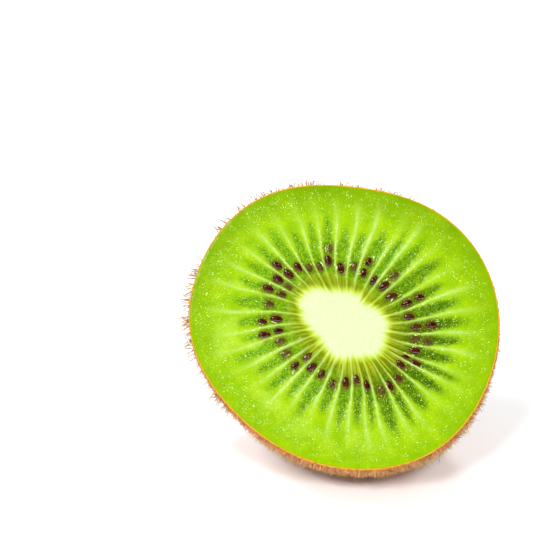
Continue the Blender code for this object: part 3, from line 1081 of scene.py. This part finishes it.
def make_scar():
    """The woody stem scar: a ragged disc with a raised lip and a hollow middle."""
    angle = 2 * math.pi * np.arange(SCAR_SECTORS) / SCAR_SECTORS
    ragged = 0.6 * np.sin(5 * angle) + 0.4 * np.sin(8 * angle + 1) + 0.25 * ripple(angle, 60, 51)
    rings = []
    for radius, rise in SCAR_RINGS:
        width = radius * (1 + SCAR_RAGGEDNESS * ragged) / FACE_RADIUS
        depth = side_depth(width) - dimple(radius) + rise * (1 + SCAR_UNEVENNESS * ragged)
        rings.append(body_points(angle, width, depth))
    skin_depth = HALF_LENGTH - DIMPLE_DEPTH
    hollow = body_points(np.zeros(1), 0, np.array([skin_depth + SCAR_HEIGHT - SCAR_HOLLOW]))
    root = body_points(np.zeros(1), 0, np.array([skin_depth - SCAR_ROOT]))
    points = np.concatenate(rings + [hollow, root])
    last, middle = (len(rings) - 1) * SCAR_SECTORS, len(rings) * SCAR_SECTORS
    faces = grid_faces(len(rings), SCAR_SECTORS).tolist()
    faces += fan_faces(middle, last, SCAR_SECTORS, flip=True).tolist()
    faces += fan_faces(middle + 1, 0, SCAR_SECTORS).tolist()
    make_piece("stem_scar", points, faces, scar_material())


# Studio

def make_floor():
    data = bpy.data.meshes.new("floor")
    near, far = -FLOOR_HALF_WIDTH, FLOOR_HALF_WIDTH
    corners = [(near, near, 0), (far, near, 0), (far, far, 0), (near, far, 0)]
    data.from_pydata(corners, [], [(0, 1, 2, 3)])
    data.materials.append(floor_material())
    floor = bpy.data.objects.new("floor", data)
    bpy.context.scene.collection.objects.link(floor)


def make_window():
    """A square lamp whose reflections make the glints on the wet flesh."""
    data = bpy.data.lights.new("window", "AREA")
    data.size = WINDOW_SIZE
    data.energy = WINDOW_POWER
    light = bpy.data.objects.new("window", data)
    light.location = WINDOW_PLACE
    light.rotation_mode = "QUATERNION"
    aim = Vector(WINDOW_TARGET) - Vector(WINDOW_PLACE)
    light.rotation_quaternion = aim.to_track_quat("-Z", "Y")
    bpy.context.scene.collection.objects.link(light)


def make_lamp(name, direction, strength):
    """A distant soft lamp in that direction, which lights the floor evenly and leaves no glints."""
    data = bpy.data.lights.new(name, "SUN")
    data.angle = LAMP_SOFTNESS
    data.energy = strength
    light = bpy.data.objects.new(name, data)
    light.rotation_mode = "QUATERNION"
    light.rotation_quaternion = Vector(direction).to_track_quat("Z", "Y")
    light.visible_glossy = False
    bpy.context.scene.collection.objects.link(light)


def make_world():
    world = bpy.data.worlds.new("studio")
    world.use_nodes = True
    background = world.node_tree.nodes["Background"]
    background.inputs["Color"].default_value = WORLD_COLOUR
    background.inputs["Strength"].default_value = WORLD_STRENGTH
    world.cycles_visibility.glossy = False
    bpy.context.scene.world = world


def make_camera():
    """The photo's view, with the middle of the core at its own pixel."""
    back = Vector((
        math.sin(CAMERA_TURN) * math.cos(CAMERA_RISE),
        -math.cos(CAMERA_TURN) * math.cos(CAMERA_RISE),
        math.sin(CAMERA_RISE),
    ))
    right = Vector((math.cos(CAMERA_TURN), math.sin(CAMERA_TURN), 0))
    up = back.cross(right)
    offset_right = (CORE_PIXEL[0] - FRAME_PIXELS / 2) / FOCAL_PIXELS
    offset_up = (FRAME_PIXELS / 2 - CORE_PIXEL[1]) / FOCAL_PIXELS
    place = Vector(ORIGIN) + CAMERA_DISTANCE * (back - offset_right * right - offset_up * up)
    data = bpy.data.cameras.new("camera")
    data.sensor_width = SENSOR_WIDTH
    data.lens = FOCAL_PIXELS / FRAME_PIXELS * SENSOR_WIDTH
    data.clip_start, data.clip_end = CLIP_RANGE
    camera = bpy.data.objects.new("camera", data)
    turn = Matrix((right, up, back)).transposed().to_4x4()
    camera.matrix_world = Matrix.Translation(place * MM) @ turn
    bpy.context.scene.collection.objects.link(camera)
    bpy.context.scene.camera = camera


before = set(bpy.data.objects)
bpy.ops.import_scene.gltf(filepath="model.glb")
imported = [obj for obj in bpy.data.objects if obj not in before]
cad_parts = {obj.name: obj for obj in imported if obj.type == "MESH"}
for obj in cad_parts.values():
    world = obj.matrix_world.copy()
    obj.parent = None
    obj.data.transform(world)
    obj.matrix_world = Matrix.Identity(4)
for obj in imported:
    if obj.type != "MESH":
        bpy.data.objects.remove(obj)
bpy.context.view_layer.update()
ORIGIN = find_origin()

flesh = make_flesh()
make_skin()
make_seeds()
make_grains_and_glints()
make_scar()
fuzz_material = hair_material("fuzz", paint(228, 146, 66), paint(255, 216, 138), 0.6)
bristle_material = hair_material("bristle", paint(232, 158, 70), paint(252, 220, 148), 0.5)
rim_material = hair_material("rim_hair", paint(248, 190, 110), paint(255, 232, 168), 0.5)
mat_material = hair_material("mat", MAT_ROOT, MAT_TIP, 0.6)
make_hairs(
    "fuzz", FUZZ_COUNT, FUZZ_LENGTH, FUZZ_THICKNESS, fuzz_material, 61, 0.80,
    SKIN_REACH,
)
make_hairs(
    "bristles", BRISTLE_COUNT, BRISTLE_LENGTH, BRISTLE_THICKNESS, bristle_material, 71, 0.48,
    BRISTLE_REACH, rim_share=0.3,
)
make_hairs(
    "rim_hairs", RIM_HAIR_COUNT, RIM_HAIR_LENGTH, RIM_HAIR_THICKNESS, rim_material, 81, 0.30,
    RIM_REACH, between_tufts=0.14, rim_share=0.05,
)
make_hairs(
    "mat", MAT_HAIR_COUNT, MAT_HAIR_LENGTH, MAT_HAIR_THICKNESS, mat_material, 91, 0.52,
    MAT_REACH, between_tufts=0.5, rim_share=0.0, peaks=MAT_AT,
)
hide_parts("kiwi_half")

make_floor()
make_world()
make_camera()
make_window()
for lamp_name, lamp_direction, lamp_strength in LAMPS:
    make_lamp(lamp_name, lamp_direction, lamp_strength)
bpy.context.scene.view_settings.view_transform = "Standard"
